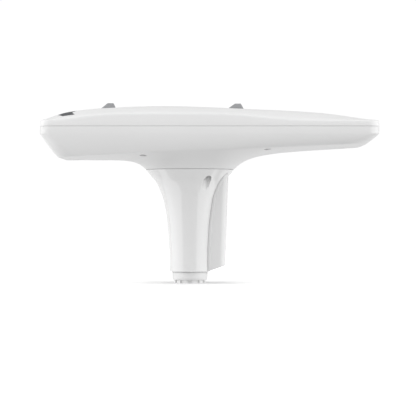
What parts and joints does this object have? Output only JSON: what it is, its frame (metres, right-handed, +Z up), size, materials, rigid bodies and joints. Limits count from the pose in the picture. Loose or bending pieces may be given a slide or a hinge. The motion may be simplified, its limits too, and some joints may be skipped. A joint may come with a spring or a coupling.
{
  "type": "marine satellite compass antenna",
  "caption": "Flat rectangular marine satellite compass antenna with a white domed radome on a flared hollow stem, a cable cover and a threaded swivel foot.",
  "frame": {"origin": "centre of the foot's base, on the axis of the stem and of the mast thread", "axes": "+X towards the stern (the cable cover's side), +Y to the boat's right when the bow is at -X, +Z up along the stem"},
  "size_m": [0.35, 0.16, 0.1923],
  "materials": {
    "radome_white": "smooth white ASA, semi-gloss",
    "housing_white": "smooth white ASA, semi-gloss",
    "stem_white": "glossy white ASA",
    "nut_white": "satin white nylon",
    "sight_grey": "satin grey",
    "mark_grey": "satin dark grey",
    "rubber": "matte black",
    "steel": "stainless, turned",
    "dark_steel": "black-oxide stainless",
    "brass": "machined",
    "aluminium": "rolled sheet, satin",
    "board_green": "solder-masked glass-epoxy board",
    "tin": "tin-plated sheet",
    "ceramic": "sintered ceramic with a silvered top",
    "black_plastic": "satin black nylon",
    "lead_black": "extruded jacket",
    "vent_grey": "satin grey",
    "nickel_brass": "nickel-plated brass"
  },
  "bodies": {
    "antenna": {"upper_radome": "radome_white", "lower_housing": "housing_white", "housing_seal": "rubber", "front_sight": "sight_grey", "rear_sight": "sight_grey", "bow_arrow_port": "mark_grey", "bow_arrow_starboard": "mark_grey", "housing_screw_1": "dark_steel", "housing_screw_2": "dark_steel", "housing_screw_3": "dark_steel", "housing_screw_4": "dark_steel", "housing_screw_5": "dark_steel", "housing_screw_6": "dark_steel", "chassis_plate": "aluminium", "chassis_screw_1": "steel", "chassis_screw_2": "steel", "chassis_screw_3": "steel", "chassis_screw_4": "steel", "main_board": "board_green", "board_spacer_1": "brass", "board_spacer_2": "brass", "board_spacer_3": "brass", "board_spacer_4": "brass", "receiver_shield": "tin", "inertial_sensor": "black_plastic", "board_header": "black_plastic", "bow_antenna_board": "board_green", "bow_patch": "ceramic", "bow_coax_plug": "brass", "bow_coax_socket": "brass", "bow_coax_lead": "lead_black", "stern_antenna_board": "board_green", "stern_patch": "ceramic", "stern_coax_plug": "brass", "stern_coax_socket": "brass", "stern_coax_lead": "lead_black", "data_connector": "nickel_brass", "connector_pins": "black_plastic", "connector_seal": "rubber", "connector_nut": "nickel_brass", "harness": "lead_black", "breather_vent": "vent_grey", "stem_shell": "stem_white", "neck_gasket": "rubber", "stem_screw_1": "dark_steel", "stem_screw_2": "dark_steel", "stem_screw_3": "dark_steel", "stem_insert_1": "brass", "stem_insert_2": "brass", "stem_insert_3": "brass", "thrust_washer": "black_plastic"},
    "cable_cover": {"cable_cover": "stem_white"},
    "swivel_nut": {"swivel_nut": "nut_white", "thread_insert": "brass", "foot_seal": "rubber", "retaining_ring": "steel"}
  },
  "joints": [
    {"name": "nut_swivel", "type": "hinge", "parent": "antenna", "child": "swivel_nut", "pos_m": [0, 0, 0.012], "axis": [0, 0, 1], "continuous": true},
    {"name": "cover_slide", "type": "slide", "parent": "antenna", "child": "cable_cover", "axis": [1, 0, 0], "range_m": [0, 0.03]}
  ]
}
